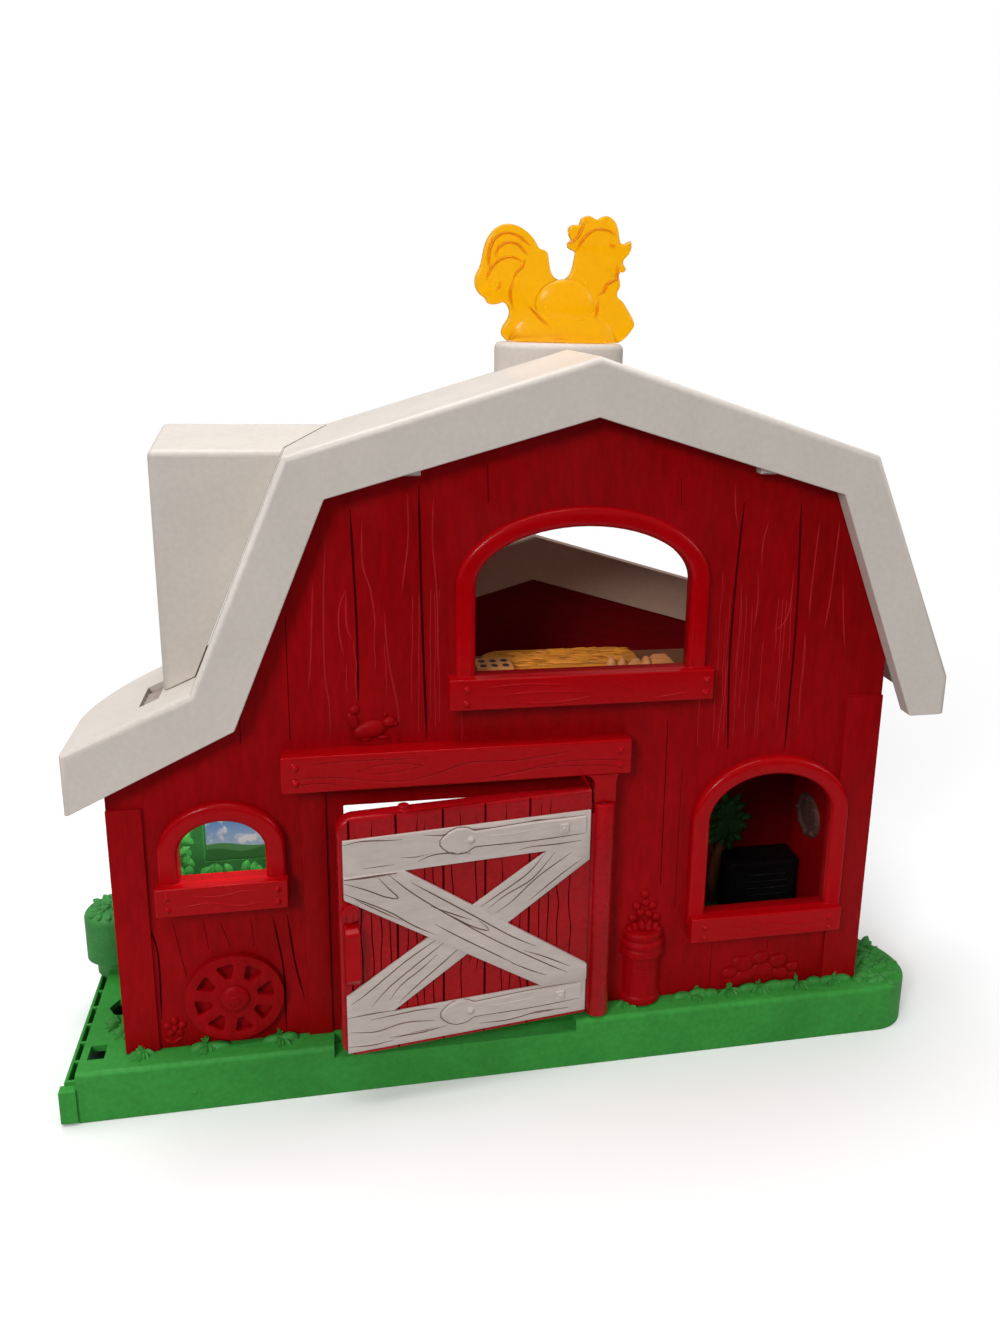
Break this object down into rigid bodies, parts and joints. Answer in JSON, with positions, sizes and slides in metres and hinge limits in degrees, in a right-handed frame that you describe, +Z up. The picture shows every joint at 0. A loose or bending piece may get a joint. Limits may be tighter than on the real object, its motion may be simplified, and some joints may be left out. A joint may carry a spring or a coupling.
{
  "type": "toy barn",
  "caption": "Moulded toy barn on a low green base: gambrel roof with side lean-to and dormer, swinging stall door, loft, arched windows and a turning weathercock.",
  "frame": {"origin": "middle of the footprint on the floor the toy stands on, at the underside of the base's rim", "axes": "+X to the viewer's right along the front wall, +Y from the front wall to the open back, +Z up; the stall door is 7 degrees ajar at rest"},
  "size_m": [0.403, 0.124, 0.3875],
  "materials": {
    "red_plastic": "moulded, fine satin texture",
    "dark_red_plastic": "moulded, satin, in the room's shade",
    "white_plastic": "moulded, satin, warm white",
    "cream_plastic": "moulded, satin, with a fine dark grain",
    "amber_plastic": "translucent, polished",
    "tan_plastic": "moulded, satin",
    "straw_plastic": "moulded, satin",
    "green_plastic": "moulded, satin",
    "leaf_plastic": "moulded with leaf relief, satin",
    "printed_label": "printed film",
    "dark_plastic": "moulded, matt",
    "black_plastic": "moulded, matt",
    "speaker_metal": "pressed",
    "board_laminate": "lacquered laminate",
    "cell_jacket": "gloss jacket",
    "contact_nickel": "nickel plated",
    "spring_steel": "bright drawn",
    "screw_steel": "zinc plated"
  },
  "bodies": {
    "barn": {"front_wall": "red_plastic", "right_wall": "red_plastic", "left_wall": "red_plastic", "back_wall": "dark_red_plastic", "lintel": "red_plastic", "rear_trim": "white_plastic", "roof": "white_plastic", "dormer": "white_plastic", "turret": "white_plastic", "loft_floor": "tan_plastic", "hay": "straw_plastic", "hinge_pin": "spring_steel", "base": "green_plastic", "side_rail": "green_plastic", "base_screws": "screw_steel", "hedge": "leaf_plastic", "stall_picture": "printed_label", "sound_box": "dark_plastic", "speaker_grille": "black_plastic", "speaker": "speaker_metal", "circuit_board": "board_laminate", "cells": "cell_jacket", "cell_contacts": "contact_nickel", "cell_cover": "green_plastic", "cover_screw": "screw_steel"},
    "door": {"door": "red_plastic", "door_pull": "red_plastic", "door_boards": "cream_plastic"},
    "vane": {"weathercock": "amber_plastic", "spindle_washer": "spring_steel"}
  },
  "joints": [
    {"name": "door_hinge", "type": "hinge", "parent": "barn", "child": "door", "pos_m": [0.0383, -0.03884, 0.024], "axis": [0, 0, 1], "range_deg": [-7, 103]},
    {"name": "vane_spin", "type": "hinge", "parent": "barn", "child": "vane", "pos_m": [0.0305, 0.04696, 0.329], "axis": [0, 0, 1], "continuous": true}
  ]
}
